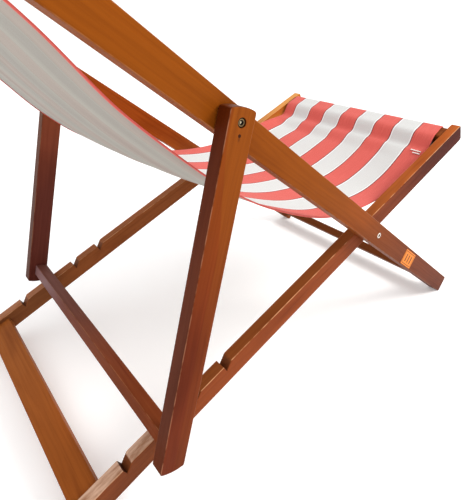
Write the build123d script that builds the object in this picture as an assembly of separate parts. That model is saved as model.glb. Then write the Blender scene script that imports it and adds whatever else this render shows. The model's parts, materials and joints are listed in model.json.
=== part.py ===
from build123d import *
import os
from math import atan, atan2, cos, degrees, hypot, radians, sin

# A folding deck chair with a striped canvas sling, in millimetres. X runs across the chair, the
# sitter faces -Y and +Z is up. Three wooden frames turn about axes parallel to X: the long frame
# (foot to head), the base frame (notched rails, front seat bar) and the prop frame (two legs
# with a bar that rests in a notch). Side views are drawn in each frame's own plane: the first
# coordinate runs along the rail, the second across it, and the extrusion runs along +X.

# Rail sections: depth is seen from the side, thickness is along X
BASE_DEPTH = 35.0
BASE_THICK = 20.0
LONG_DEPTH = 38.0
LONG_THICK = 25.0
PROP_DEPTH = 36.0
PROP_THICK = 22.0
EDGE = 1.5            # rounding of the rails' long edges

# Places across the chair, from the centre plane
INSIDE = 225.0        # inner face of a base rail
SIDE_GAP = 2.0        # washer gap between neighbouring frames
BASE_IN = INSIDE
BASE_OUT = BASE_IN + BASE_THICK
LONG_IN = BASE_OUT + SIDE_GAP
LONG_OUT = LONG_IN + LONG_THICK
PROP_IN = LONG_OUT + SIDE_GAP
PROP_OUT = PROP_IN + PROP_THICK

# The long frame, measured from the main pivot
OPEN_ANGLE = 61.0     # from base rails to long rails when the chair stands open
LONG_HEAD = 900.0
LONG_FOOT = 400.0
PROP_PIVOT = 422.5
FOOT_BAR = (-380.0, -340.0)
HEAD_BAR = (852.0, 888.0)
CROSS_BAR_THICK = 20.0
FOOT_BAR_ROUND = 3.0
HEAD_ARC = 55.0       # radius of the gently bowed rail ends
END_ROUND = 4.0       # eased corners of the rail ends

# The base frame, measured from the main pivot
BASE_FRONT = 335.0
BASE_REAR = 668.0
TIP_CHAMFER = 9.0
NOTCHES = 4
NOTCH_FIRST = 349.5
NOTCH_PITCH = 61.5
NOTCH_DEEP = 11.5
NOTCH_RAMP = 15.0
NOTCH_LEAN = 1.0      # how far the rear wall leans back over its height
NOTCH_BROW = 3.0      # eased top of the ramp
SEATED_NOTCH = 2      # index of the notch that holds the prop bar
SEAT_BAR = (-318.0, -284.0)
SEAT_BAR_TOP = 18.0
SEAT_BAR_THICK = 20.0
SEAT_BAR_ROUND = 5.0
REAR_BOARD = (570.0, 612.0)
REAR_BOARD_TOP = 10.0
REAR_BOARD_THICK = 15.0
REAR_BOARD_ROUND = 2.0

# The prop frame, measured from its pivot
PROP_ANGLE = -51.75   # direction of the legs, against the base rails
PROP_END = 459.0
PROP_TOP = 16.5
PROP_BAR = 22.0       # square section
PROP_BAR_ROUND = 2.0
SEAT_GAP = 0.5        # clearance of the prop bar in its notch

# Tenons that hold the cross bars
TENON_LONG = 12.0
TENON_STEP = 4.0
GLUE_GAP = 0.1
RUN_GAP = 0.1         # between faces that turn against each other

# Pivot fittings
SHANK = 7.9           # diameter
SHANK_HOLE = 8.0
DOME_HEAD = 16.0
DOME_HIGH = 3.2
DOME_ROUND = 2.2
NUT = 10.8
NUT_HOLE = 11.0
NUT_LONG = 14.0
NUT_PROUD = 0.6
NUT_ROUND = 1.0
NUT_SKIN = 3.0        # closed thickness over the shank
CAP_NUT = 10.4
CAP_NUT_ROUND = 1.6
CAP_SUNK = 1.0        # below the leg's outer face
SHANK_SHORT = 0.5     # from the shank's end to the closed face of its nut
FIT_GAP = 0.1         # a fitting in its own recess
OVERCUT = 1.0         # how far a cutting tool runs past a face
CAP_HOLE = 11.5
CAP_DEEP = 7.0
SOCKET = 4.0          # across flats
SOCKET_DEEP = 1.6
COUNTERSINK = 14.0
WASHER = 20.0
PLUG = 4.0
PLUG_DEEP = 6.0
PLUG_DOWN = 14.0      # below the prop pivot
COUNTERSINK_GAP = 0.05

LABEL_LONG = 51.0
LABEL_WIDE = 31.0
LABEL_THICK = 0.3
LABEL_ROUND = 1.5
LABEL_AT = (-156.5, -1.5)

# The sling
CLOTH_WIDE = 436.0
CLOTH = 1.6
CLOTH_GAP = 0.4       # between the cloth and a bar that it wraps
SLING_STEPS = 36
# The sag between the two bars, and the free ends of the pockets under the cloth (the second in
# the long frame's side view)
SLING_SAG = [(-238, 6), (-150, 6.5), (-60, 17), (25, 54), (98, 110), (168, 188), (228, 285)]
SLING_SAG += [(280, 400), (321, 525), (378, 675)]
SEAT_HEM = [(-242, 2.5), (-262, -1.5)]
HEAD_HEM = [(822, -6), (795, -3.2)]

FOOT_CUT = 3.0        # taken off each foot's corner to stand flat


def turned(point, angle):
    """A side-view point turned by an angle in degrees."""
    c, s = cos(radians(angle)), sin(radians(angle))
    return point[0] * c - point[1] * s, point[0] * s + point[1] * c


# Where the frames stand: the ground passes under the long rails' feet and the base rails' ends
foot_corner = turned((-LONG_FOOT, -LONG_DEPTH / 2), OPEN_ANGLE)
rear_corner = (BASE_REAR, -BASE_DEPTH / 2)
BASE_FALL = degrees(atan2(rear_corner[1] - foot_corner[1], rear_corner[0] - foot_corner[0]))
LONG_RISE = OPEN_ANGLE - BASE_FALL
PIVOT_HIGH = -turned(rear_corner, -BASE_FALL)[1] - FOOT_CUT
corner_in = LONG_DEPTH / 2 - END_ROUND
head_along = LONG_HEAD - HEAD_ARC + ((HEAD_ARC - END_ROUND) ** 2 - corner_in**2) ** 0.5
front_reach = turned((-LONG_FOOT + END_ROUND, corner_in), LONG_RISE)[0] - END_ROUND
back_reach = turned((head_along, -corner_in), LONG_RISE)[0] + END_ROUND
PIVOT_BACK = -(front_reach + back_reach) / 2


def frame_plane(along, turn, from_pivot=(0.0, 0.0)):
    """The side-view plane of a frame: its first axis is turned up from +Y, and X is its normal."""
    at = turned(from_pivot, turn)
    origin = (along, PIVOT_BACK + at[0], PIVOT_HIGH + at[1])
    return Plane(origin=origin, x_dir=(0, cos(radians(turn)), sin(radians(turn))), z_dir=(1, 0, 0))


def base_plane(along=0.0):
    return frame_plane(along, -BASE_FALL)


def long_plane(along=0.0):
    return frame_plane(along, LONG_RISE)


def prop_plane(along=0.0):
    plane = frame_plane(along, LONG_RISE, (PROP_PIVOT, 0.0))
    turn = PROP_ANGLE - BASE_FALL
    x_dir = (0, cos(radians(turn)), sin(radians(turn)))
    return Plane(origin=plane.origin, x_dir=x_dir, z_dir=(1, 0, 0))


def notch_at(index):
    return NOTCH_FIRST + index * NOTCH_PITCH


def seated_bar():
    """The prop bar's near corner in the legs' side view, where it rests in its notch."""
    pivot = turned((PROP_PIVOT, 0.0), OPEN_ANGLE)
    down = turned((1.0, 0.0), PROP_ANGLE)
    front = turned((0.0, -1.0), PROP_ANGLE)
    ramp = turned((0.0, 1.0), -degrees(atan(NOTCH_DEEP / NOTCH_RAMP)))
    low = (notch_at(SEATED_NOTCH), BASE_DEPTH / 2 - NOTCH_DEEP)
    crest = (low[0] + NOTCH_LEAN - SEAT_GAP * down[0], BASE_DEPTH / 2 - SEAT_GAP * down[1])
    above = (crest[0] - low[0]) * ramp[0] + (crest[1] - low[1]) * ramp[1] - SEAT_GAP
    slide = above / -(front[0] * ramp[0] + front[1] * ramp[1])
    corner = (crest[0] + slide * front[0] - pivot[0], crest[1] + slide * front[1] - pivot[1])
    return turned(corner, -PROP_ANGLE)


BAR_END, BAR_FRONT = seated_bar()


def mirror_x(shape):
    return mirror(shape, about=Plane.YZ)


def slab(plane, outline, near, far):
    """A side-view outline extruded between two places across the chair."""
    return plane.location * (Pos(0, 0, near) * extrude(outline, far - near))


def round_bar(plane, at, diameter, near, far):
    """A cylinder along X at a side-view point."""
    return slab(plane, Pos(*at) * Circle(diameter / 2), near, far)


def box_outline(along, across):
    """A side-view rectangle between two places along the rail and two across it."""
    centre = (sum(along) / 2, sum(across) / 2)
    return Pos(*centre) * Rectangle(along[1] - along[0], across[1] - across[0])


def eased(solid, edge=EDGE):
    """The rail with the long edges of its two side faces rounded."""
    sides = solid.faces().filter_by(Axis.X)
    big = [face for face in sides if face.area > 5000]
    edges = ShapeList([e for face in big for e in face.edges() if e.length > 25])
    return fillet(edges, edge)


def bowed_end(tip, depth, sign):
    """The points of a gently bowed rail end: corner, apex, corner."""
    half = depth / 2
    bow = HEAD_ARC - (HEAD_ARC**2 - half**2) ** 0.5
    return [(tip - sign * bow, -half), (tip, 0.0), (tip - sign * bow, half)]


def long_outline():
    """Square foot with eased corners, bowed head."""
    low, apex, high = bowed_end(LONG_HEAD, LONG_DEPTH, 1)
    foot_low = (-LONG_FOOT, -LONG_DEPTH / 2)
    foot_high = (-LONG_FOOT, LONG_DEPTH / 2)
    edge = Line(foot_low, low) + ThreePointArc(low, apex, high)
    edge += Line(high, foot_high) + Line(foot_high, foot_low)
    face = make_face(edge)
    return fillet(face.vertices(), END_ROUND)


def prop_outline():
    """Both ends bowed, corners eased."""
    low, apex, high = bowed_end(PROP_END, PROP_DEPTH, 1)
    back_low, back_apex, back_high = bowed_end(-PROP_TOP, PROP_DEPTH, -1)
    edge = Line(back_low, low) + ThreePointArc(low, apex, high)
    edge += Line(high, back_high) + ThreePointArc(back_high, back_apex, back_low)
    face = make_face(edge)
    return fillet(face.vertices(), END_ROUND)


def notch_outline(index):
    """A steep rear wall and a long front ramp, open at the top."""
    half = BASE_DEPTH / 2
    at = notch_at(index)
    top = half + OVERCUT
    points = [(at, half - NOTCH_DEEP), (at + NOTCH_LEAN, half), (at + NOTCH_LEAN, top)]
    points += [(at - NOTCH_RAMP, top), (at - NOTCH_RAMP, half)]
    return make_face(Polyline(*points, close=True))


def base_outline():
    """Four notches along the top edge and a chamfer under the front tip."""
    half = BASE_DEPTH / 2
    points = [(-BASE_FRONT, half), (-BASE_FRONT, -half + TIP_CHAMFER / 2)]
    points += [(-BASE_FRONT + TIP_CHAMFER, -half), (BASE_REAR, -half), (BASE_REAR, half)]
    face = make_face(Polyline(*points, close=True))
    high = face.vertices().group_by(Axis.Y)[-1]
    face = fillet(high, END_ROUND)
    for index in range(NOTCHES):
        face -= notch_outline(index)
    brows = [v for v in face.vertices() if is_brow(v)]
    return fillet(brows, NOTCH_BROW)


def is_brow(vertex):
    """Whether a corner is the top of a notch's front ramp."""
    tops = [notch_at(index) - NOTCH_RAMP for index in range(NOTCHES)]
    near = min(abs(vertex.X - top) for top in tops)
    return near < 0.01 and abs(vertex.Y - BASE_DEPTH / 2) < 0.01


def standing(rail):
    """The rail with its lowest corner cut level with the ground."""
    return rail - Pos(0, 0, -50) * Box(2000, 3000, 100)


def mortise(plane, along, across, near):
    """The blind socket for a tenon, open towards the centre plane."""
    along = (along[0] + TENON_STEP - GLUE_GAP, along[1] - TENON_STEP + GLUE_GAP)
    across = (across[0] + TENON_STEP - GLUE_GAP, across[1] - TENON_STEP + GLUE_GAP)
    return slab(plane, box_outline(along, across), near - OVERCUT, near + TENON_LONG + GLUE_GAP)


def cross_bar(plane, along, across, half_width, edge):
    """A bar between two rails, its long edges rounded, with a tenon at each end."""
    body = slab(plane, box_outline(along, across), -half_width, half_width)
    body = fillet(body.edges().filter_by(Axis.X), edge)
    along = (along[0] + TENON_STEP, along[1] - TENON_STEP)
    across = (across[0] + TENON_STEP, across[1] - TENON_STEP)
    reach = half_width + TENON_LONG
    return body + slab(plane, box_outline(along, across), -reach, reach)


# Cross bars: (along, across) in their own frame's side view
FOOT_SECTION = (FOOT_BAR, (-CROSS_BAR_THICK / 2, CROSS_BAR_THICK / 2))
HEAD_SECTION = (HEAD_BAR, (-CROSS_BAR_THICK / 2, CROSS_BAR_THICK / 2))
SEAT_SECTION = (SEAT_BAR, (SEAT_BAR_TOP - SEAT_BAR_THICK, SEAT_BAR_TOP))
BOARD_SECTION = (REAR_BOARD, (REAR_BOARD_TOP - REAR_BOARD_THICK, REAR_BOARD_TOP))
BAR_SECTION = ((BAR_END - PROP_BAR, BAR_END), (BAR_FRONT, BAR_FRONT + PROP_BAR))


def long_rail():
    plane = long_plane()
    rail = eased(slab(plane, long_outline(), LONG_IN, LONG_OUT))
    rail = standing(rail)
    rail -= round_bar(plane, (0, 0), SHANK_HOLE, LONG_IN - OVERCUT, LONG_OUT)
    rail -= round_bar(plane, (0, 0), NUT_HOLE, LONG_OUT - NUT_LONG, LONG_OUT + OVERCUT)
    rail -= prop_plane().location * countersink(SHANK_HOLE / 2, COUNTERSINK / 2 + COUNTERSINK_GAP)
    rail -= round_bar(prop_plane(), (0, 0), SHANK_HOLE, LONG_IN - OVERCUT, LONG_OUT + OVERCUT)
    for section in (FOOT_SECTION, HEAD_SECTION):
        rail -= mortise(plane, *section, LONG_IN)
    return rail


def countersink(small, big):
    """The cone of a countersunk head whose flat top is level with the long rail's inner face."""
    high = big - small
    return Pos(0, 0, LONG_IN + high / 2) * Cone(big, small, high)


def base_rail():
    plane = base_plane()
    rail = eased(slab(plane, base_outline(), BASE_IN, BASE_OUT))
    rail = standing(rail)
    rail -= round_bar(plane, (0, 0), SHANK_HOLE, BASE_IN - OVERCUT, BASE_OUT + OVERCUT)
    for section in (SEAT_SECTION, BOARD_SECTION):
        rail -= mortise(plane, *section, BASE_IN)
    return rail


def prop_leg():
    plane = prop_plane()
    leg = eased(slab(plane, prop_outline(), PROP_IN, PROP_OUT))
    past = PROP_OUT + OVERCUT
    leg -= round_bar(plane, (0, 0), SHANK_HOLE, PROP_IN - OVERCUT, past)
    leg -= round_bar(plane, (0, 0), CAP_HOLE, PROP_OUT - CAP_DEEP, past)
    leg -= round_bar(plane, (PLUG_DOWN, 0), PLUG, PROP_OUT - PLUG_DEEP, past)
    leg -= mortise(plane, *BAR_SECTION, PROP_IN)
    return leg


def hex_socket(plane, top):
    """The key socket in a nut whose outer face is at this place across the chair."""
    outline = RegularPolygon(SOCKET / 2, 6, major_radius=False)
    return slab(plane, outline, top - SOCKET_DEEP, top + OVERCUT)


def main_bolt():
    """Dome head inside the base rail, shank through both rails."""
    plane = base_plane()
    seat = BASE_IN - RUN_GAP
    head = round_bar(plane, (0, 0), DOME_HEAD, seat - DOME_HIGH, seat)
    head = fillet(head.edges().group_by(Axis.X)[0], DOME_ROUND)
    return head + round_bar(plane, (0, 0), SHANK, seat - OVERCUT, LONG_OUT - NUT_SKIN - SHANK_SHORT)


def main_nut():
    """A sleeve nut let into the long rail, its rounded face just proud."""
    plane = base_plane()
    top = LONG_OUT + NUT_PROUD
    nut = round_bar(plane, (0, 0), NUT, LONG_OUT - NUT_LONG + FIT_GAP, top)
    nut = fillet(nut.edges().group_by(Axis.X)[-1], NUT_ROUND)
    nut -= round_bar(plane, (0, 0), SHANK_HOLE, LONG_OUT - NUT_LONG, LONG_OUT - NUT_SKIN)
    return nut - hex_socket(plane, top)


def prop_bolt():
    """Countersunk head level with the long rail's inner face, shank out to the leg."""
    plane = prop_plane()
    head = plane.location * countersink(SHANK / 2, COUNTERSINK / 2)
    end = PROP_OUT - CAP_SUNK - NUT_SKIN - SHANK_SHORT
    return head + round_bar(plane, (0, 0), SHANK, LONG_IN + OVERCUT, end)


def prop_nut():
    """A cap nut that lies in the leg's counterbore."""
    plane = prop_plane()
    top = PROP_OUT - CAP_SUNK
    nut = round_bar(plane, (0, 0), CAP_NUT, PROP_OUT - CAP_DEEP + FIT_GAP, top)
    nut = fillet(nut.edges().group_by(Axis.X)[-1], CAP_NUT_ROUND)
    nut -= round_bar(plane, (0, 0), SHANK_HOLE, PROP_OUT - CAP_DEEP, top - NUT_SKIN)
    return nut - hex_socket(plane, top)


def washer(plane, near):
    """A flat ring in the gap between two frames."""
    ring = round_bar(plane, (0, 0), WASHER, near + RUN_GAP, near + SIDE_GAP - RUN_GAP)
    return ring - round_bar(plane, (0, 0), SHANK_HOLE, near, near + SIDE_GAP)


def plug():
    return round_bar(prop_plane(), (PLUG_DOWN, 0), PLUG - FIT_GAP, PROP_OUT - PLUG_DEEP, PROP_OUT)


def side_label():
    """A plain label on the outer face of the right long rail."""
    outline = Pos(*LABEL_AT) * RectangleRounded(LABEL_LONG, LABEL_WIDE, LABEL_ROUND)
    return slab(long_plane(), outline, -LONG_OUT - LABEL_THICK, -LONG_OUT)


def wrap_points(along, across, clear, first):
    """Points round a bar at a clear distance, from its under side to its upper side.

    first is the edge of the bar that the cloth goes round.
    """
    low, high = across
    inward = 1 if first == along[0] else -1
    far = along[1] if inward == 1 else along[0]
    radius = SEAT_BAR_ROUND + clear
    points = [(far, low - clear)]
    for middle, start in ((low + SEAT_BAR_ROUND, -90), (high - SEAT_BAR_ROUND, 0)):
        for step in range(5):
            turn = radians(start + 22.5 * step)
            across_at = middle + radius * sin(turn)
            points.append((first + inward * (SEAT_BAR_ROUND - radius * cos(turn)), across_at))
    return points + [(far, high + clear)]


def sling_line():
    """The sling's middle line in the base frame's side view, from one pocket to the other."""
    clear = CLOTH / 2 + CLOTH_GAP
    front = wrap_points(*SEAT_SECTION, clear, SEAT_BAR[0])
    head = [turned(p, OPEN_ANGLE) for p in wrap_points(*HEAD_SECTION, clear, HEAD_BAR[1])]
    sag = Spline(*SLING_SAG)
    sag = [sag @ (step / SLING_STEPS) for step in range(SLING_STEPS + 1)]
    sag = [(point.X, point.Y) for point in sag]
    return SEAT_HEM + front + sag + head[::-1] + [turned(p, OPEN_ANGLE) for p in HEAD_HEM]


def cloth_outline(points):
    """The closed outline of a strip of even thickness along a line of points."""
    upper, lower = [], []
    for index, (x, y) in enumerate(points):
        before = points[max(index - 1, 0)]
        after = points[min(index + 1, len(points) - 1)]
        dx, dy = after[0] - before[0], after[1] - before[1]
        size = hypot(dx, dy)
        across = (-dy / size * CLOTH / 2, dx / size * CLOTH / 2)
        upper.append((x + across[0], y + across[1]))
        lower.append((x - across[0], y - across[1]))
    return make_face(Polyline(*upper, *reversed(lower), close=True))


def sling():
    outline = cloth_outline(sling_line())
    return slab(base_plane(), outline, -CLOTH_WIDE / 2, CLOTH_WIDE / 2)


def build():
    """Every node by name."""
    parts = {}
    paired = {
        "long_rail": long_rail(),
        "base_rail": base_rail(),
        "prop_leg": prop_leg(),
        "main_pivot_bolt": main_bolt(),
        "main_pivot_nut": main_nut(),
        "main_pivot_washer": washer(base_plane(), BASE_OUT),
        "prop_pivot_bolt": prop_bolt(),
        "prop_pivot_nut": prop_nut(),
        "prop_pivot_washer": washer(prop_plane(), LONG_OUT),
        "prop_leg_plug": plug(),
    }
    for name, shape in paired.items():
        parts[f"{name}_left"] = shape
        parts[f"{name}_right"] = mirror_x(shape)
    parts["foot_bar"] = cross_bar(long_plane(), *FOOT_SECTION, LONG_IN, FOOT_BAR_ROUND)
    parts["head_bar"] = cross_bar(long_plane(), *HEAD_SECTION, LONG_IN, SEAT_BAR_ROUND)
    parts["seat_front_bar"] = cross_bar(base_plane(), *SEAT_SECTION, BASE_IN, SEAT_BAR_ROUND)
    parts["rear_board"] = cross_bar(base_plane(), *BOARD_SECTION, BASE_IN, REAR_BOARD_ROUND)
    parts["prop_bar"] = cross_bar(prop_plane(), *BAR_SECTION, PROP_IN, PROP_BAR_ROUND)
    parts["side_label"] = side_label()
    parts["sling"] = sling()
    return parts


os.makedirs("parts", exist_ok=True)
for node, solid in build().items():
    export_step(solid, f"parts/{node}.step")
print("main pivot at", round(PIVOT_BACK, 3), round(PIVOT_HIGH, 3))
print("prop pivot at", [round(value, 3) for value in prop_plane().origin])
print("base fall", round(BASE_FALL, 3), "prop bar corner", round(BAR_END, 2), round(BAR_FRONT, 2))
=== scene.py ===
import json
from math import cos, hypot, pi, radians, sin

import bpy
from mathutils import Matrix, Vector, noise


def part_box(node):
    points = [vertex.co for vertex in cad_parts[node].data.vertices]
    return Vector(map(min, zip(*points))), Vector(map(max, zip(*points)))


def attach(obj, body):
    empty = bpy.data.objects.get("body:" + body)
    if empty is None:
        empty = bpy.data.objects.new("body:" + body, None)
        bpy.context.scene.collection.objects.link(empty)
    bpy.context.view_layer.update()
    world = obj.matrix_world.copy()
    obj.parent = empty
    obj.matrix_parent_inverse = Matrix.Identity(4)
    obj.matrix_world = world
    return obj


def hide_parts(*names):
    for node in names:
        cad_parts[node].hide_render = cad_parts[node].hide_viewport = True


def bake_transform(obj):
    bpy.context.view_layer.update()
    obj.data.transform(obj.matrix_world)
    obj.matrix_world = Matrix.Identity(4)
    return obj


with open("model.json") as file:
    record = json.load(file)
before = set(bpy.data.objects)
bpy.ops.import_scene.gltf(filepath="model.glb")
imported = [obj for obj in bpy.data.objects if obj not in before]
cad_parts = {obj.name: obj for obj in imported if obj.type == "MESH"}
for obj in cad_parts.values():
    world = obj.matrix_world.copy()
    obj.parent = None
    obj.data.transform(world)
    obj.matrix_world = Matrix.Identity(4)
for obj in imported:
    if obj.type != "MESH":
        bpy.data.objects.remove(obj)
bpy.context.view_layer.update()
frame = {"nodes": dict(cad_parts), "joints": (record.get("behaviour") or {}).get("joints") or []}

# Everything is in metres. Side views are measured from the main pivot in millimetres: (u, v)
# along and across the base rails, (s, n) along and across the long rails.
MM = 0.001
JOINT_AT = {joint["name"]: Vector(joint["pos_m"]) for joint in frame["joints"]}
MAIN_PIVOT = JOINT_AT["main_fold"]
PROP_PIVOT = JOINT_AT["prop_swing"]
BASE_TURN = -22.002      # direction of the base rails above +Y, in degrees
OPEN_ANGLE = 61.0        # from base rails to long rails
LONG_TURN = BASE_TURN + OPEN_ANGLE
PROP_TURN = BASE_TURN - 51.75
NODES = frame["nodes"]


def turned(point, angle):
    c, s = cos(radians(angle)), sin(radians(angle))
    return point[0] * c - point[1] * s, point[0] * s + point[1] * c


def base_point(x, u, v):
    y, z = turned((u, v), BASE_TURN)
    return MAIN_PIVOT + Vector((x, y, z)) * MM


def from_long(s, n):
    """A point of the long frame's side view in the base frame's."""
    return turned((s, n), OPEN_ANGLE)


# ---------------------------------------------------------------- camera, light, stage

CAMERA_AT = (-0.6460, 0.4161, 0.6454)
CAMERA_HEADING = -130.97
CAMERA_DOWN = 25.35
CAMERA_ROLL = -0.2
LENS = 31.34
SHIFT = (-0.0558, -0.0874)
LIGHT_AIM = (0, 0, 0.35)
FLOOR_REACH = 60.0
FLOOR_GAP = 0.0005       # keeps the floor from flickering through the feet


def add_camera():
    data = bpy.data.cameras.new("camera")
    data.lens = LENS
    data.sensor_width = 36.0
    data.shift_x, data.shift_y = SHIFT
    data.clip_start = 0.01
    camera = bpy.data.objects.new("camera", data)
    bpy.context.scene.collection.objects.link(camera)
    turn = Matrix.Rotation(radians(CAMERA_HEADING), 4, "Z")
    turn = turn @ Matrix.Rotation(radians(90 - CAMERA_DOWN), 4, "X")
    turn = turn @ Matrix.Rotation(radians(CAMERA_ROLL), 4, "Z")
    camera.matrix_world = Matrix.Translation(CAMERA_AT) @ turn
    bpy.context.scene.camera = camera


def add_light(name, at, size, watts, colour=(1, 1, 1)):
    data = bpy.data.lights.new(name, "AREA")
    data.shape = "DISK"
    data.size = size
    data.energy = watts
    data.color = colour
    light = bpy.data.objects.new(name, data)
    bpy.context.scene.collection.objects.link(light)
    light.location = at
    aim = Vector(LIGHT_AIM) - Vector(at)
    light.rotation_euler = aim.to_track_quat("-Z", "Y").to_euler()


def add_stage():
    world = bpy.data.worlds.new("studio")
    bpy.context.scene.world = world
    world.use_nodes = True
    sky = world.node_tree.nodes["Background"]
    sky.inputs["Color"].default_value = (1, 1, 1, 1)
    sky.inputs["Strength"].default_value = 1.1
    add_light("key", (-2.0, -1.6, 2.2), 1.2, 60, (1.0, 0.98, 0.95))
    mesh = bpy.data.meshes.new("floor")
    corners = [(x * FLOOR_REACH, y * FLOOR_REACH, 0) for x, y in ((-1, -1), (1, -1), (1, 1), (-1, 1))]
    mesh.from_pydata(corners, [], [(0, 1, 2, 3)])
    floor = bpy.data.objects.new("floor", mesh)
    bpy.context.scene.collection.objects.link(floor)
    floor.location.z = -FLOOR_GAP
    material = bpy.data.materials.new("floor")
    material.use_nodes = True
    shader = material.node_tree.nodes["Principled BSDF"]
    shader.inputs["Base Color"].default_value = (0.93, 0.93, 0.93, 1)
    shader.inputs["Roughness"].default_value = 0.9
    shader.inputs["Emission Color"].default_value = (1, 1, 1, 1)
    shader.inputs["Emission Strength"].default_value = 0.2
    mesh.materials.append(material)
    bpy.context.scene.view_settings.view_transform = "Standard"


# ---------------------------------------------------------------- materials


def srgb(r, g, b):
    """An 8-bit colour as linear light with alpha."""
    def linear(c):
        c /= 255
        return c / 12.92 if c <= 0.04045 else ((c + 0.055) / 1.055) ** 2.4
    return (linear(r), linear(g), linear(b), 1.0)


class Shader:
    """A Principled material built from chained nodes."""

    def __init__(self, name):
        self.material = bpy.data.materials.new(name)
        self.material.use_nodes = True
        self.tree = self.material.node_tree
        self.main = self.tree.nodes["Principled BSDF"]

    def put(self, socket, value):
        if isinstance(value, bpy.types.NodeSocket):
            self.tree.links.new(value, socket)
        else:
            socket.default_value = value

    def node(self, kind, settings=(), inputs=()):
        node = self.tree.nodes.new(kind)
        for key, value in dict(settings).items():
            setattr(node, key, value)
        for key, value in dict(inputs).items():
            self.put(node.inputs[key], value)
        return node

    def math(self, operation, *values, clamp=False):
        node = self.node("ShaderNodeMath", {"operation": operation, "use_clamp": clamp})
        for index, value in enumerate(values):
            self.put(node.inputs[index], value)
        return node.outputs[0]

    def vector(self, operation, *values):
        node = self.node("ShaderNodeVectorMath", {"operation": operation})
        for index, value in enumerate(values):
            self.put(node.inputs[index], value)
        return node.outputs["Value" if operation in ("DOT_PRODUCT", "LENGTH") else "Vector"]

    def split(self, vector):
        node = self.node("ShaderNodeSeparateXYZ", inputs={0: vector})
        return node.outputs[0], node.outputs[1], node.outputs[2]

    def join(self, x, y, z):
        return self.node("ShaderNodeCombineXYZ", inputs={0: x, 1: y, 2: z}).outputs[0]

    def step(self, value, low, high):
        """0 below low, 1 above high, smooth between."""
        inputs = {"Value": value, "From Min": low, "From Max": high}
        node = self.node("ShaderNodeMapRange", {"interpolation_type": "SMOOTHSTEP"}, inputs)
        return node.outputs[0]

    def noise(self, vector, scale, detail=3.0, rough=0.55, distortion=0.0):
        inputs = {"Vector": vector, "Scale": scale, "Detail": detail, "Roughness": rough}
        inputs["Distortion"] = distortion
        return self.node("ShaderNodeTexNoise", inputs=inputs).outputs[0]

    def mix(self, share, a, b, blend="MIX"):
        node = self.node("ShaderNodeMix", {"data_type": "RGBA", "blend_type": blend})
        self.put(node.inputs["Factor"], share)
        for index, value in ((6, a), (7, b)):
            self.put(node.inputs[index], value)
        return node.outputs[2]

    def bump(self, height, strength, distance, normal=None):
        node = self.node("ShaderNodeBump", inputs={"Height": height})
        node.inputs["Strength"].default_value = strength
        node.inputs["Distance"].default_value = distance
        if normal is not None:
            self.put(node.inputs["Normal"], normal)
        return node.outputs[0]

    def set(self, **values):
        for key, value in values.items():
            self.put(self.main.inputs[key.replace("_", " ")], value)


def local_place(shader, origin, turn):
    """Coordinates (across, along, height) of a frame, in metres, from the resting place."""
    place = shader.node("ShaderNodeTexCoord").outputs["Object"]
    back = Matrix.Rotation(radians(-turn), 3, "X")
    inputs = {"Vector": place, "Rotation": (radians(-turn), 0, 0), "Location": back @ -origin}
    return shader.node("ShaderNodeMapping", inputs=inputs).outputs[0]


def local_normal(shader, turn):
    normal = shader.node("ShaderNodeNewGeometry").outputs["True Normal"]
    settings = {"vector_type": "NORMAL", "convert_from": "WORLD", "convert_to": "OBJECT"}
    normal = shader.node("ShaderNodeVectorTransform", settings, {"Vector": normal}).outputs[0]
    inputs = {"Vector": normal, "Rotation": (radians(-turn), 0, 0)}
    return shader.node("ShaderNodeMapping", {"vector_type": "NORMAL"}, inputs).outputs[0]


# Stained and varnished hardwood
END_TONE = srgb(64, 28, 16)
WORN_AND_HIGHLIT_EDGE_TONE = srgb(214, 160, 116)
PALE_EDGE_WIDTH = 0.0013     # how far the pale edge, wear and painted highlight, reaches from an edge
PITH_AT = (0.011, 0.035)  # from the board to the heart of its tree
RING_PITCH = 0.0075


def local_bounds(node, origin, turn):
    """Lowest and highest corner of a piece in its frame's side view."""
    thing = NODES[node]
    back = Matrix.Rotation(radians(-turn), 3, "X")
    places = [back @ (thing.matrix_world @ vertex.co - origin) for vertex in thing.data.vertices]
    low = Vector([min(place[axis] for place in places) for axis in range(3)])
    high = Vector([max(place[axis] for place in places) for axis in range(3)])
    return low, high


def tinted(shader, share, colour, tint):
    """The colour multiplied by a tint, as far as share says."""
    return shader.mix(share, colour, shader.mix(1.0, colour, (*tint, 1), "MULTIPLY"))


def edge_mask(shader, place, low, high, axes, width):
    """1 along the long edges of a squared piece."""
    parts = shader.split(place)
    gaps = []
    for axis in axes:
        middle, half = (low[axis] + high[axis]) / 2, (high[axis] - low[axis]) / 2
        off = shader.math("ABSOLUTE", shader.math("SUBTRACT", parts[axis], middle))
        gaps.append(shader.math("SUBTRACT", half, off))
    return shader.step(shader.math("MAXIMUM", *gaps), width, width * 0.3)


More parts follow.
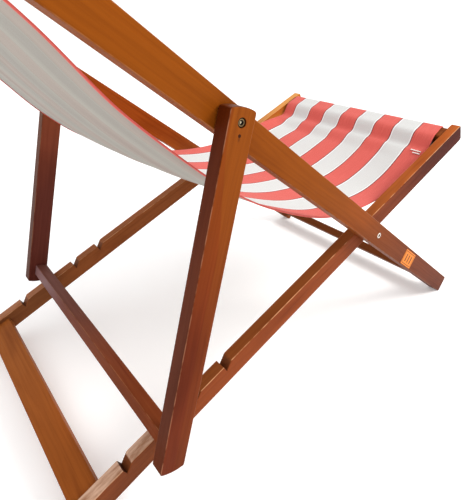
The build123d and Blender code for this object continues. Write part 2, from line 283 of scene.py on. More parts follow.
def wood(node, origin, turn, seed, side, top=None, ends=(0.0, 1.0), grain=1, extra=None, edge_wear_and_highlight=0.25):
    """Varnished wood, grain along the frame's axis of that number.

    side and top are pairs of colours, blended between the two places in ends along the grain. The top colour
    differs from the side as painted light and shade, and on some pieces the blend along the grain paints
    shade towards one end.
    """
    shader = Shader("board_" + node)
    low, high = local_bounds(node, origin, turn)
    place = local_place(shader, origin, turn)
    normal = local_normal(shader, turn)
    parts, facing = shader.split(place), shader.split(normal)
    along, across = parts[grain], parts[1 - grain]
    offset = (seed * 0.37, seed * 0.91, seed * 0.53)
    grain_place = shader.vector("ADD", shader.join(across, along, parts[2]), offset)
    share = shader.step(along, *ends)
    colour = shader.mix(share, srgb(*side[0]), srgb(*side[1]))
    # Faces turned up the frame's height axis take the top colour: a painted lighter top on the base rails,
    # painted shade on the prop legs' rear faces.
    if top is not None:
        top_light_and_shade = shader.mix(share, srgb(*top[0]), srgb(*top[1]))
        colour = shader.mix(shader.step(facing[2], 0.45, 0.8), colour, top_light_and_shade)
    # Broad clouds of stain, soft growth bands, fibres and pores
    cloud = shader.noise(shader.vector("MULTIPLY", grain_place, (13, 3.4, 13)), 1.0, 3.0)
    colour = tinted(shader, shader.step(cloud, 0.50, 0.74), colour, (0.70, 0.62, 0.58))
    colour = tinted(shader, shader.step(cloud, 0.48, 0.26), colour, (1.2, 1.16, 1.1))
    bend = shader.noise(shader.vector("MULTIPLY", grain_place, (16, 2.0, 16)), 1.0, 3.0)
    px, _, pz = shader.split(grain_place)
    from_pith = shader.join(shader.math("ADD", px, PITH_AT[0]), 0.0, shader.math("ADD", pz, PITH_AT[1]))
    pith = shader.vector("LENGTH", from_pith)
    rings = shader.math("MULTIPLY_ADD", pith, 1 / RING_PITCH, shader.math("MULTIPLY", bend, 9.0))
    rings = shader.math("MULTIPLY_ADD", shader.math("SINE", shader.math("MULTIPLY", rings, 2 * pi)), 0.5, 0.5)
    fibres = shader.noise(shader.vector("MULTIPLY", grain_place, (520, 7, 520)), 1.0, 4.0, 0.6)
    streaks = shader.noise(shader.vector("MULTIPLY", grain_place, (130, 2.4, 130)), 1.0, 3.0)
    pores = shader.noise(shader.vector("MULTIPLY", grain_place, (1500, 42, 1500)), 1.0, 1.0)
    pores = shader.step(pores, 0.66, 0.74)
    dark = shader.math("MULTIPLY", shader.math("POWER", rings, 2.0), 0.16)
    dark = shader.math("MULTIPLY_ADD", shader.step(fibres, 0.45, 0.8), 0.26, dark)
    dark = shader.math("MULTIPLY_ADD", shader.step(streaks, 0.48, 0.75), 0.34, dark)
    dark = shader.math("MULTIPLY_ADD", pores, 0.2, dark)
    colour = tinted(shader, dark, colour, (0.55, 0.44, 0.38))
    pale = shader.step(streaks, 0.46, 0.25)
    colour = tinted(shader, shader.math("MULTIPLY", pale, 0.4), colour, (1.25, 1.25, 1.25))
    roughness = shader.math("MULTIPLY_ADD", fibres, 0.22, 0.36)
    # Pale edges, partly rubbed wear and partly painted highlight, and dark end grain
    patchiness = shader.step(shader.noise(place, 38.0, 3.0), 0.34, 0.6)
    sides = [axis for axis in range(3) if axis != grain]
    edge = edge_mask(shader, place, low, high, sides, PALE_EDGE_WIDTH)
    edge = shader.math("MULTIPLY", shader.math("MULTIPLY", edge, patchiness), edge_wear_and_highlight)
    # The pale edge line is partly rubbed wear and partly a painted highlight along the ridges.
    colour = shader.mix(edge, colour, WORN_AND_HIGHLIT_EDGE_TONE)
    end_grain = shader.step(shader.math("ABSOLUTE", facing[grain]), 0.75, 0.92)
    colour = shader.mix(shader.math("MULTIPLY", end_grain, 0.65), colour, END_TONE)
    if extra is not None:
        colour, roughness = extra(shader, place, normal, colour, roughness)
    height = shader.math("ADD", shader.math("MULTIPLY", fibres, 0.6), shader.math("MULTIPLY", rings, 0.15))
    height = shader.math("SUBTRACT", height, shader.math("MULTIPLY", pores, 0.5))
    shader.set(Base_Color=colour, Roughness=roughness, Normal=shader.bump(height, 0.3, 0.00022))
    shader.set(Coat_Weight=0.02, Coat_Roughness=0.2, Specular_IOR_Level=0.04)
    shader.set(Specular_Tint=(1.0, 0.72, 0.45, 1.0))
    return shader.material


def box_mask(shader, value, low, high, soft):
    """1 between two places, with soft edges."""
    rise = shader.step(value, low - soft, low + soft)
    fall = shader.step(value, high + soft, high - soft)
    return shader.math("MULTIPLY", rise, fall)


NOTCH_FIRST, NOTCH_PITCH, NOTCHES = 0.3495, 0.0615, 4
NOTCH_RAMP = 0.015
RAIL_TOP = 0.0175
PALE_FROM, PALE_FULL = 0.476, 0.480   # where the pale patches start, along the rail
DULL_FROM, DULL_FULL = 0.40, 0.5      # where the rail's sides turn duller


def notch_shade_and_pale_top(strength):
    """Pale, patchy colour on the rail's top behind the seated notch, and painted shade in the notches."""

    def extra(shader, place, normal, colour, roughness):
        _, u, v = shader.split(place)
        nx, _, nz = shader.split(normal)
        high = shader.step(v, RAIL_TOP - 0.003, RAIL_TOP - 0.001)
        top = shader.math("MULTIPLY", shader.step(nz, 0.55, 0.8), high)
        patchiness = shader.noise(shader.vector("MULTIPLY", place, (120, 22, 90)), 1.0, 4.0, 0.6)
        spots = shader.noise(shader.vector("MULTIPLY", place, (160, 60, 160)), 1.0, 3.0, 0.7)
        behind = shader.step(u, PALE_FROM, PALE_FULL)
        pale_patch = shader.math("MULTIPLY", shader.math("MULTIPLY", top, behind), shader.step(patchiness, 0.20, 0.42))
        kept = shader.math("MULTIPLY_ADD", shader.step(spots, 0.55, 0.75), -0.35, 1.0)
        pale_patch = shader.math("MULTIPLY", pale_patch, kept)
        pale = shader.mix(shader.step(patchiness, 0.32, 0.6), srgb(156, 116, 90), srgb(204, 168, 144))
        colour = shader.mix(shader.math("MULTIPLY", pale_patch, strength), colour, pale)
        # Painted shade darkens the notches' walls and floors.
        inside = 0.0
        for index in range(NOTCHES):
            at = NOTCH_FIRST + index * NOTCH_PITCH
            band = box_mask(shader, u, at - NOTCH_RAMP + 0.001, at + 0.0018, 0.0006)
            inside = shader.math("ADD", band, inside)
        low = shader.step(v, RAIL_TOP - 0.0008, RAIL_TOP - 0.003)
        facing = shader.step(shader.math("ABSOLUTE", nx), 0.6, 0.3)
        inside = shader.math("MULTIPLY", shader.math("MULTIPLY", inside, low), facing)
        colour = shader.mix(shader.math("MULTIPLY", inside, 0.55), colour, srgb(84, 44, 26))
        outer = shader.math("MULTIPLY", shader.step(u, DULL_FROM, DULL_FULL), shader.step(nz, 0.6, 0.3))
        colour = tinted(shader, outer, colour, (0.74, 0.86, 1.0))
        roughness = shader.math("MULTIPLY_ADD", pale_patch, 0.25, roughness)
        return colour, roughness

    return extra


def scratches_and_reflection(shader, place, normal, colour, roughness):
    """A few pale rub marks on the prop bar, and a painted reflection, greyish, on its rear face at one end.
    """
    lines = shader.noise(shader.vector("MULTIPLY", place, (7, 900, 900)), 1.0, 2.0)
    patch = shader.noise(shader.vector("MULTIPLY", place, (18, 60, 60)), 1.0, 1.0)
    mark = shader.math("MULTIPLY", shader.step(lines, 0.68, 0.74), shader.step(patch, 0.52, 0.66))
    colour = shader.mix(shader.math("MULTIPLY", mark, 0.55), colour, srgb(200, 150, 120))
    x, _, _ = shader.split(place)
    _, _, rear = shader.split(normal)
    # Painted reflection of the bright surroundings on the rear face at the far end.
    painted_reflection = shader.math("MULTIPLY", shader.step(x, 0.08, 0.2), shader.step(rear, 0.4, 0.8))
    colour = shader.mix(shader.math("MULTIPLY", painted_reflection, 0.45), colour, srgb(136, 108, 112))
    return colour, roughness


def leg_bands(shader, place, normal, colour, roughness):
    """A redder band along the rear of the leg's side, and a stain under its filled hole."""
    _, s, n = shader.split(place)
    wave = shader.noise(shader.vector("MULTIPLY", place, (4, 9, 4)), 1.0, 2.0)
    front = shader.math("MULTIPLY_ADD", shader.step(s, 0.0, 0.16), -0.016, 0.014)
    front = shader.math("MULTIPLY_ADD", wave, 0.006, shader.math("SUBTRACT", front, 0.003))
    off = shader.math("SUBTRACT", n, front)
    colour = tinted(shader, shader.step(off, -0.0008, 0.0015), colour, (0.90, 0.76, 0.86))
    low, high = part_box("prop_leg_plug_right")
    hole = (low + high) / 2 - PROP_PIVOT
    across, down = turned((hole.y, hole.z), -PROP_TURN)
    run = shader.math("SUBTRACT", s, across)
    wide = shader.math("ABSOLUTE", shader.math("SUBTRACT", n, down))
    drop = box_mask(shader, run, 0.0, 0.006, 0.002)
    mark = shader.math("MULTIPLY", drop, shader.step(wide, 0.0022, 0.0006))
    return shader.mix(shader.math("MULTIPLY", mark, 0.45), colour, srgb(60, 28, 12)), roughness


WORN_METAL = 0.85


def fitting(name, tone, rough, dirt, centre, rings, broken=0.0):
    """Worn metal round a pivot; rings are (inner radius, outer radius, colour).

    broken says how far the rings fade across one diagonal.
    """
    shader = Shader(name)
    place = shader.node("ShaderNodeTexCoord").outputs["Object"]
    brushed = shader.noise(shader.vector("MULTIPLY", place, (300, 1800, 1800)), 1.0, 3.0)
    grime = shader.noise(place, 260.0, 4.0, 0.65)
    _, y, z = shader.split(shader.vector("SUBTRACT", place, centre))
    radius = shader.vector("LENGTH", shader.join(0.0, y, z))
    colour = tone
    lean = shader.math("DIVIDE", shader.math("ADD", y, z), shader.math("MAXIMUM", radius, 0.0001))
    diagonal = shader.step(shader.math("ABSOLUTE", lean), 0.45, 0.8)
    arcs = shader.math("MULTIPLY_ADD", diagonal, broken, 1 - broken)
    for inner, outer, shade in rings:
        band = box_mask(shader, radius, inner, outer, 0.0002)
        band = shader.math("MULTIPLY", band, arcs)
        colour = shader.mix(band, colour, shade)
    soil = shader.math("MULTIPLY", shader.step(grime, 0.45, 0.7), dirt)
    colour = shader.mix(soil, colour, srgb(70, 50, 36))
    shader.set(Base_Color=colour, Metallic=WORN_METAL)
    shader.set(Roughness=shader.math("MULTIPLY_ADD", brushed, 0.25, rough))
    shader.set(Normal=shader.bump(brushed, 0.25, 0.0001))
    return shader.material


def filler():
    shader = Shader("plug_filler")
    place = shader.node("ShaderNodeTexCoord").outputs["Object"]
    grain = shader.noise(place, 1400.0, 3.0)
    shader.set(Base_Color=shader.mix(grain, srgb(34, 14, 8), srgb(66, 34, 18)))
    shader.set(Roughness=shader.math("MULTIPLY_ADD", grain, 0.3, 0.5), Specular_IOR_Level=0.04)
    shader.set(Normal=shader.bump(grain, 0.3, 0.0002))
    return shader.material


LABEL_FRAME = (0.0225, 0.0125)   # half the printed frame's length and height
LABEL_BARS = (-0.012, 0.0, 0.012)
LABEL_BAR_HALF = (0.002, 0.008)
LABEL_INK = srgb(52, 20, 4)


def label_print():
    """Plain orange paper with a thin frame and three equal bars."""
    low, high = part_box("side_label")
    centre = (low + high) / 2
    shader = Shader("label_paper")
    place = local_place(shader, centre, LONG_TURN)
    _, s, n = shader.split(place)
    paper = shader.noise(place, 900.0, 3.0)
    colour = shader.mix(paper, srgb(206, 112, 30), srgb(222, 128, 42))
    past_end = shader.math("SUBTRACT", shader.math("ABSOLUTE", s), LABEL_FRAME[0])
    past_side = shader.math("SUBTRACT", shader.math("ABSOLUTE", n), LABEL_FRAME[1])
    outside = shader.math("MAXIMUM", past_end, past_side)
    edge = box_mask(shader, outside, -0.0006, 0.0006, 0.0002)
    dashes = 0.0
    wide, tall = LABEL_BAR_HALF
    for at in LABEL_BARS:
        dash = box_mask(shader, s, at - wide, at + wide, 0.0003)
        dash = shader.math("MULTIPLY", dash, box_mask(shader, n, -tall, tall, 0.0003))
        dashes = shader.math("ADD", dash, dashes)
    ink = shader.math("ADD", edge, dashes, clamp=True)
    colour = shader.mix(shader.math("MULTIPLY", ink, 0.95), colour, LABEL_INK)
    shader.set(Base_Color=colour, Roughness=0.55, Normal=shader.bump(paper, 0.15, 0.0001))
    shader.set(Specular_IOR_Level=0.15)
    return shader.material


# ---------------------------------------------------------------- the sling

STRIPE = 50.5            # width of a stripe
STRIPE_FROM = -171.5     # first edge between red and white, from the centre
SLING_HALF = 217.0
HEM = 3.2
THICK = 1.1
LAYER = 1.35             # from the cloth to its hem, middle to middle
CLEAR = 2.5              # cloth's middle to the bar it wraps
BAR_ROUND = 5.0
SEAT_BAR = ((-318.0, -284.0), (-2.0, 18.0))
HEAD_BAR = ((852.0, 888.0), (-10.0, 10.0))


def arc(centre, radius, start, end, steps=6):
    turns = [radians(start + (end - start) * k / steps) for k in range(steps + 1)]
    return [(centre[0] + radius * cos(t), centre[1] + radius * sin(t)) for t in turns]


def distance(a, b):
    return hypot(b[0] - a[0], b[1] - a[1])


def between(a, b, share):
    return tuple(p + (q - p) * share for p, q in zip(a, b))


def smooth_line(points, spacing=1.0):
    """A centripetal Catmull-Rom line through points, sampled about every spacing."""
    first = tuple(2 * a - b for a, b in zip(points[0], points[1]))
    last = tuple(2 * a - b for a, b in zip(points[-1], points[-2]))
    held = [first] + list(points) + [last]
    line = []
    for span in zip(held, held[1:], held[2:], held[3:]):
        knots = [0.0]
        for a, b in zip(span, span[1:]):
            knots.append(knots[-1] + max(distance(a, b), 1e-6) ** 0.5)
        steps = max(2, round(distance(span[1], span[2]) / spacing))
        for k in range(steps):
            line.append(on_span(span, knots, knots[1] + (knots[2] - knots[1]) * k / steps))
    line.append(tuple(points[-1]))
    return line


def on_span(points, knots, t):
    """The point at knot value t of one Catmull-Rom span, by repeated blending."""
    rounds = (zip(knots, knots[1:]), zip(knots, knots[2:]), [(knots[1], knots[2])])
    level = points
    for pairs in rounds:
        steps = zip(level, level[1:], pairs)
        level = [between(a, b, (t - low) / (high - low)) for a, b, (low, high) in steps]
    return level[0]


def resampled(line, count):
    """count points evenly spaced along a line."""
    lengths = [0.0]
    for a, b in zip(line, line[1:]):
        lengths.append(lengths[-1] + distance(a, b))
    points, index = [], 0
    for k in range(count):
        at = lengths[-1] * k / (count - 1)
        while index < len(line) - 2 and lengths[index + 1] < at:
            index += 1
        share = (at - lengths[index]) / max(lengths[index + 1] - lengths[index], 1e-9)
        points.append(between(line[index], line[index + 1], share))
    return points


def seat_pocket():
    """From the hem under the seat bar, round its front and down to the sewn crease."""
    (back, front), (low, high) = (SEAT_BAR[0][1], SEAT_BAR[0][0]), SEAT_BAR[1]
    radius = BAR_ROUND + CLEAR
    points = [(-241, 1.6), (-252, -0.6), (-266, -3.2), (back, low - CLEAR)]
    points += arc((front + BAR_ROUND, low + BAR_ROUND), radius, 270, 180)
    points += arc((front + BAR_ROUND, high - BAR_ROUND), radius, 180, 90)
    points += [(back - 12, high + CLEAR + 0.3), (-286, 21.3), (-279, 20.8), (-271, 17.0)]
    points += [(-262, 9.8), (-254.5, 4.6), (-247, 3.0), CREASE]
    return smooth_line(points)


def head_pocket():
    """Over the head bar, round its end and back to the hem, in the long frame's side view."""
    (back, front), (low, high) = HEAD_BAR[0], HEAD_BAR[1]
    radius = BAR_ROUND + CLEAR
    points = [HEAD_HEM, (830, 10.2), (back, high + CLEAR)]
    points += arc((front - BAR_ROUND, high - BAR_ROUND), radius, 90, 0)
    points += arc((front - BAR_ROUND, low + BAR_ROUND), radius, 0, -90)
    points += [(back + 4, low - CLEAR), (834, -10.0), (815, -3.6), (799, 2.2)]
    return [from_long(*point) for point in smooth_line(points)]


# The cloth's edges from the sewn crease to the head pocket, in the base frame's side view
CREASE = (-240.0, 3.8)
HEAD_HEM = (800.0, 4.0)
NEAR_SAG = [CREASE, (-195, -3), (-145, -5), (-90, 2), (-15, 28), (55, 67), (125, 134), (200, 232)]
NEAR_SAG += [(285, 410), (320, 525), from_long(700, -13), from_long(*HEAD_HEM)]
FAR_SAG = [CREASE, (-175, 22), (-110, 34), (-5, 61), (85, 106), (170, 172), (245, 251), (285, 330)]
FAR_SAG += [(310, 408), from_long(560, -62), from_long(700, -28), from_long(*HEAD_HEM)]
BELLY = 9.0              # extra hang between the edges, at most
TROUGH_NEAR, TROUGH_FAR = 5.0, 17.0   # how far the seat lies below the cloth's edges
PULLED_IN = 3.0          # how far the right edge is drawn in at the front of the seat
PULL_FROM, PULL_OVER = -278.0, 34.0    # where that starts, and the run over which it grows
ROWS_SEAT, ROWS_SAG, ROWS_HEAD = 70, 190, 64
COLUMNS = 62


def sling_lines():
    """The near and far edges' lines with the same number of points, and the share of the sag."""
    seat = resampled(seat_pocket(), ROWS_SEAT)[:-1]
    head = resampled(head_pocket(), ROWS_HEAD)[1:]
    near = seat + resampled(smooth_line(NEAR_SAG, 2.0), ROWS_SAG) + head
    far = seat + resampled(smooth_line(FAR_SAG, 2.0), ROWS_SAG) + head
    sag = [0.0] * len(seat) + [k / (ROWS_SAG - 1) for k in range(ROWS_SAG)] + [0.0] * len(head)
    return near, far, sag


def normals(line):
    """Unit normals towards the cloth's printed side."""
    result = []
    for index in range(len(line)):
        a, b = line[max(index - 1, 0)], line[min(index + 1, len(line) - 1)]
        dx, dy = b[0] - a[0], b[1] - a[1]
        size = max(hypot(dx, dy), 1e-9)
        result.append((-dy / size, dx / size))
    return result


def sling_section():
    """(across the chair, height over the cloth's middle, flat coordinate) from hem to hem."""
    edge = SLING_HALF
    hem = [(edge - HEM, -LAYER, edge + HEM - 0.6), (edge - HEM * 0.66, -LAYER, edge + HEM * 0.66)]
    hem += [(edge - 1.4, -LAYER, edge + 1.4)]
    hem += [(edge - 0.45, -LAYER * 0.85, edge + 0.7), (edge - 0.1, -LAYER * 0.5, edge)]
    hem += [(edge - 0.45, -LAYER * 0.15, edge - 0.7)]
    inner = edge - 1.6
    columns = [inner - 2 * inner * k / COLUMNS for k in range(COLUMNS + 1)]
    left = hem + [(x, 0.0, x) for x in columns]
    right = [(-x, h, -a) for x, h, a in reversed(hem)]
    return left + right


def make_mesh(name, verts, faces):
    mesh = bpy.data.meshes.new(name)
    mesh.from_pydata(verts, [], faces)
    mesh.update()
    thing = bpy.data.objects.new(name, mesh)
    bpy.context.scene.collection.objects.link(thing)
    for polygon in mesh.polygons:
        polygon.use_smooth = True
    return thing


def wrinkle(x, along, share):
    """Small unevenness of hanging canvas, in millimetres."""
    fade = min(1.0, share * 14, (1 - share) * 14)
    broad = noise.noise(Vector((x * 0.006, along * 0.0045, 3.7)))
    fine = noise.noise(Vector((x * 0.021 + along * 0.004, along * 0.009, 9.1)))
    pucker = noise.noise(Vector((x * 0.05, 1.3, 5.5))) * max(0.0, 1 - share * 18)
    return fade * (2.2 * broad + 0.7 * fine) + 1.6 * pucker * min(1.0, share * 60)


def ease(value, low, high):
    share = min(1.0, max(0.0, (value - low) / (high - low)))
    return share * share * (3 - 2 * share)


def trough(sag, share):
    """How far the middle of the seat lies below its edges, along the sag and across the chair."""
    near = TROUGH_NEAR * ease(sag, 0.0, 0.09)
    far = TROUGH_FAR * ease(sag, 0.0, 0.035)
    return (near + (far - near) * share) * (1 - ease(sag, 0.12, 0.28))


def make_sling():
    """The cloth as one open sheet, with each point's place on the flat cloth kept for its pattern."""
    near, far, sag = sling_lines()
    section = sling_section()
    along = [0.0]
    for a, b in zip(near, near[1:]):
        along.append(along[-1] + distance(a, b))
    verts, flat = [], []
    up_near, up_far = normals(near), normals(far)
    for row in range(len(near)):
        for x, height, across in section:
            share = (x + SLING_HALF) / (2 * SLING_HALF)
            u, v = between(near[row], far[row], share)
            nu, nv = between(up_near[row], up_far[row], share)
            size = hypot(nu, nv)
            across_share = 1 - (x / SLING_HALF) ** 2
            lift = height - BELLY * across_share * sin(pi * sag[row]) ** 1.3
            lift -= (1 - (x / SLING_HALF) ** 6) * trough(sag[row], share)
            lift += wrinkle(x, along[row], sag[row]) * (sag[row] > 0)
            if row < ROWS_SEAT and x < 0:
                x += PULLED_IN * min(1.0, max(0.0, (PULL_FROM - u) / PULL_OVER)) * (x / SLING_HALF) ** 4
            verts.append(base_point(x, u + lift * nu / size, v + lift * nv / size))
            flat.append((across * MM, along[row] * MM, 0.0))
    wide = len(section)
    faces = []
    for row in range(len(near) - 1):
        for column in range(wide - 1):
            at = row * wide + column
            faces.append((at, at + wide, at + wide + 1, at + 1))
    cloth = make_mesh("sling_cloth", verts, faces)
    attribute = cloth.data.attributes.new("cloth", "FLOAT_VECTOR", "POINT")
    attribute.data.foreach_set("vector", [value for place in flat for value in place])
    return cloth


def woven(shader, across, along, pitch):
    """Height of a plain weave."""
    a = shader.math("MULTIPLY", across, pi / pitch)
    b = shader.math("MULTIPLY", along, pi / pitch)
    sine_a, sine_b = shader.math("SINE", a), shader.math("SINE", b)
    over = shader.step(shader.math("MULTIPLY", sine_a, sine_b), -0.1, 0.1)
    warp, weft = shader.math("ABSOLUTE", sine_a), shader.math("ABSOLUTE", sine_b)
    gap = shader.math("SUBTRACT", warp, weft)
    return shader.math("MULTIPLY_ADD", over, gap, weft)


def cloth_place(shader):
    node = shader.node("ShaderNodeAttribute", {"attribute_name": "cloth"})
    return node.outputs["Vector"]


RED, RED_LINE = srgb(207, 89, 80), srgb(96, 24, 28)
WHITE, WHITE_LINE = srgb(207, 208, 206), srgb(236, 236, 235)
STITCH_PITCH, WEAVE_PITCH = 0.0036, 0.0009


def canvas(name, printed):
    """Woven striped cotton; the side that isn't printed is grey, with the stripes faint in it."""
    shader = Shader(name)
    place = cloth_place(shader)
    across, along, _ = shader.split(place)
    wobble = shader.noise(shader.vector("MULTIPLY", place, (0, 38, 0)), 1.0, 2.0)
    held = shader.math("MAXIMUM", shader.math("MINIMUM", across, SLING_HALF * MM), -SLING_HALF * MM)
    moved = shader.math("MULTIPLY_ADD", wobble, 0.0010, held)
    offset = shader.math("SUBTRACT", moved, STRIPE_FROM * MM + 0.0005)
    phase = shader.math("FLOORED_MODULO", shader.math("MULTIPLY", offset, 1 / (STRIPE * MM)), 2.0)
    is_red = shader.math("GREATER_THAN", phase, 1.0)
    # Distance from the nearest edge between stripes
    inside = shader.math("FRACT", phase)
    near_edge = shader.math("MINIMUM", inside, shader.math("SUBTRACT", 1.0, inside))
    near_edge = shader.math("MULTIPLY", near_edge, STRIPE * MM)
    line = shader.step(near_edge, 0.0030, 0.0022)
    thin = shader.step(near_edge, 0.0022, 0.0017)
    slub = shader.noise(shader.vector("MULTIPLY", place, (1400, 30, 0)), 1.0, 2.0)
    cross_slub = shader.noise(shader.vector("MULTIPLY", place, (30, 1400, 0)), 1.0, 2.0)
    wash = shader.noise(place, 9.0, 3.0)
    white = shader.mix(line, WHITE, WHITE_LINE)
    red = shader.mix(thin, RED, RED_LINE)
    red = tinted(shader, shader.step(slub, 0.45, 0.75), red, (1.12, 1.35, 1.35))
    colour = shader.mix(is_red, white, red)
    ribbed = shader.math("MULTIPLY", shader.step(cross_slub, 0.5, 0.8), 0.16)
    colour = tinted(shader, ribbed, colour, (0.84, 0.84, 0.84))
    colour = tinted(shader, shader.math("MULTIPLY", wash, 0.12), colour, (0.86, 0.86, 0.88))
    if not printed:
        streak = shader.noise(shader.vector("MULTIPLY", place, (26, 1.5, 0)), 1.0, 3.0)
        back = shader.mix(shader.step(streak, 0.3, 0.7), srgb(148, 143, 134), srgb(164, 160, 150))
        colour = shader.mix(0.07, back, colour)
    # Hem stitches run beside both long edges
    reach = shader.math("ABSOLUTE", across)
    row_from, row_to = (SLING_HALF - 3.9) * MM, (SLING_HALF - 3.3) * MM
    row = box_mask(shader, reach, row_from, row_to, 0.0001)
    dash = shader.math("FLOORED_MODULO", along, STITCH_PITCH)
    dash = box_mask(shader, dash, 0.0006, 0.0030, 0.0002)
    stitch = shader.math("MULTIPLY", row, dash)
    colour = shader.mix(shader.math("MULTIPLY", stitch, 0.7), colour, srgb(176, 60, 58))
    weave = woven(shader, across, along, WEAVE_PITCH)
    height = shader.math("MULTIPLY_ADD", slub, 0.4, weave)
    height = shader.math("MULTIPLY_ADD", stitch, 1.2, height)
    # Painted shade darkens the low hollows of the weave.
    colour = tinted(shader, shader.step(weave, 0.35, 0.05), colour, (0.80, 0.78, 0.78))
    shader.set(Base_Color=colour, Roughness=0.88, Normal=shader.bump(height, 0.30, 0.00022))
    shader.set(Sheen_Weight=0.12, Sheen_Roughness=0.5, Specular_IOR_Level=0.2)
    return shader.material


def finish_sling(cloth):
    cloth.data.materials.append(canvas("canvas_striped", True))
    cloth.data.materials.append(canvas("canvas_back", False))
    thick = cloth.modifiers.new("thick", "SOLIDIFY")
    thick.thickness = THICK * MM
    thick.offset = 0.0
    thick.material_offset = 1
    thick.material_offset_rim = 0


def capsule_row(name, points, length, radius):
    """Thread stitches, one short tapered capsule at each (place, direction, up)."""
    verts, faces = [], []
    sides, rings = 6, (-0.5, -0.36, 0.0, 0.36, 0.5)
    girth = (0.15, 0.8, 1.0, 0.8, 0.15)
    for place, direction, up in points:
        side = direction.cross(up).normalized()
        start = len(verts)
        for ring, wide in zip(rings, girth):
            for k in range(sides):
                turn = 2 * pi * k / sides
                away = side * cos(turn) + up * sin(turn) * 0.7
                arch = up * radius * (0.9 - 3.2 * ring * ring)
                verts.append(place + direction * ring * length + away * wide * radius + arch)
        for r in range(len(rings) - 1):
            for k in range(sides):
                a, b = start + r * sides + k, start + r * sides + (k + 1) % sides
                faces.append((a, b, b + sides, a + sides))
        faces.append(tuple(start + k for k in reversed(range(sides))))
        faces.append(tuple(start + (len(rings) - 1) * sides + k for k in range(sides)))
    return make_mesh(name, verts, faces)


def thread():
    shader = Shader("white_thread")
    place = shader.node("ShaderNodeTexCoord").outputs["Object"]
    twist = shader.noise(shader.vector("MULTIPLY", place, (2600, 2600, 2600)), 1.0, 2.0)
    shader.set(Base_Color=shader.mix(twist, srgb(226, 222, 216), srgb(250, 248, 244)), Roughness=0.7)
    shader.set(Normal=shader.bump(twist, 0.4, 0.0001))
    return shader.material


add_camera()
add_stage()

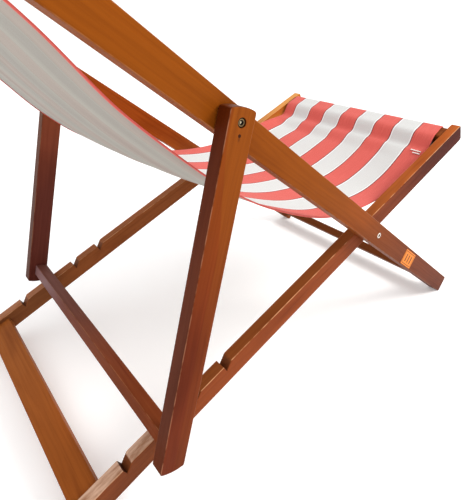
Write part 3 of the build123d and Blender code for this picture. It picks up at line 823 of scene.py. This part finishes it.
# Wood: each piece has its own board, with its grain along its length; some tones also hold painted light and
# shade
LONG = dict(origin=MAIN_PIVOT, turn=LONG_TURN)
BASE = dict(origin=MAIN_PIVOT, turn=BASE_TURN)
PROP = dict(origin=PROP_PIVOT, turn=PROP_TURN)
WOODS = {
    "long_rail_right": wood("long_rail_right", seed=1.0, side=((101, 47, 24), (128, 64, 12)),
                            ends=(-0.25, 0.3), **LONG),
    "long_rail_left": wood("long_rail_left", seed=2.0, side=((122, 64, 33), (140, 64, 16)),
                           ends=(-0.2, 0.3), **LONG),
    "foot_bar": wood("foot_bar", seed=3.0, side=((104, 54, 26), (104, 54, 26)), grain=0, **LONG),
    "head_bar": wood("head_bar", seed=4.0, side=((130, 68, 22), (120, 60, 26)), grain=0, **LONG),
    # Painted shade darkens the outer face towards the tip; the top colours are painted lighter than the side.
    "base_rail_right": wood("base_rail_right", seed=5.0, side=((74, 20, 6), (126, 60, 28)),
                            top=((186, 98, 40), (126, 66, 30)), ends=(-0.3, 0.1), edge_wear_and_highlight=0.85,
                            extra=notch_shade_and_pale_top(0.9), **BASE),
    # The top colours are a painted highlight, lighter than the sides.
    "base_rail_left": wood("base_rail_left", seed=6.0, side=((178, 102, 36), (132, 73, 38)),
                           top=((204, 142, 76), (150, 90, 54)), ends=(-0.32, 0.0), edge_wear_and_highlight=0.7,
                           extra=notch_shade_and_pale_top(0.18), **BASE),
    "seat_front_bar": wood("seat_front_bar", seed=7.0, side=((120, 62, 26), (130, 68, 26)),
                           grain=0, **BASE),
    "rear_board": wood("rear_board", seed=8.0, side=((142, 75, 27), (152, 86, 38)),
                       ends=(-0.2, 0.2), grain=0, edge_wear_and_highlight=0.1, **BASE),
    # The top colours fall on the rear face here, darker than the side as painted shade.
    "prop_leg_right": wood("prop_leg_right", seed=9.0, side=((128, 64, 14), (108, 47, 18)),
                           top=((84, 34, 7), (104, 56, 33)), ends=(0.0, 0.3), extra=leg_bands,
                           edge_wear_and_highlight=0.4, **PROP),
    # Painted shade: the far leg's tones are darker than the near leg's.
    "prop_leg_left": wood("prop_leg_left", seed=10.0, side=((105, 50, 28), (92, 44, 36)),
                          top=((96, 56, 38), (84, 46, 34)), ends=(0.0, 0.3), edge_wear_and_highlight=0.2, **PROP),
    # Painted shade: the blend darkens and greys the bar towards the far leg.
    "prop_bar": wood("prop_bar", seed=11.0, side=((124, 60, 30), (107, 65, 56)),
                     ends=(-0.2, 0.2), grain=0, extra=scratches_and_reflection, **PROP),
}
# The main pivot's rings: a darker middle, and a near-white ring that is a painted glint, broken across one
# diagonal.
STEEL_RINGS_WITH_GLINT = ((-0.001, 0.0031, srgb(120, 82, 58)), (0.0033, 0.0048, srgb(250, 246, 238)))
DULL_RINGS = ((-0.001, 0.0013, srgb(214, 204, 176)), (0.0031, 0.0041, srgb(124, 104, 70)))
STEEL = fitting("zinc_steel", srgb(150, 132, 112), 0.3, 0.3, MAIN_PIVOT, STEEL_RINGS_WITH_GLINT, 0.75)
DULL = fitting("aged_steel", srgb(44, 34, 24), 0.45, 0.45, PROP_PIVOT, DULL_RINGS)
SPECIAL = {"side_label": label_print(), "prop_leg_plug_left": filler()}
SPECIAL["prop_leg_plug_right"] = SPECIAL["prop_leg_plug_left"]


def finish_for(node):
    if node in WOODS:
        return WOODS[node]
    if node in SPECIAL:
        return SPECIAL[node]
    return DULL if node.startswith("prop_pivot") else STEEL


for node, thing in NODES.items():
    if node != "sling":
        slots = thing.data.materials
        if not slots:
            slots.append(None)
        for index in range(len(slots)):
            slots[index] = finish_for(node)

sling = make_sling()
finish_sling(sling)
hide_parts("sling")
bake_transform(sling)


SEAT_DROP = 0.17         # slope of the cloth behind the crease
TACK_PITCH = 3.4
TACK_SKEW = 0.02


def tack_points(row_u, start, count):
    """A row of the right bar tack's stitches, on the seat just behind the pocket's crease."""
    up = Vector((0, *turned((0.0, 1.0), BASE_TURN)))
    points = []
    for k in range(count):
        run = k * TACK_PITCH
        height = CREASE[1] - (row_u - CREASE[0]) * SEAT_DROP + THICK / 2
        place = base_point(-(start + run), row_u + run * TACK_SKEW, height)
        points.append((place, Vector((-1, 0, 0)), up))
    return points


rows = tack_points(-237.5, 188, 7) + tack_points(-231, 196, 5)
tack = capsule_row("pocket_tack_right", rows, 0.0046, 0.0016)
tack.data.materials.append(thread())
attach(tack, "base_frame")
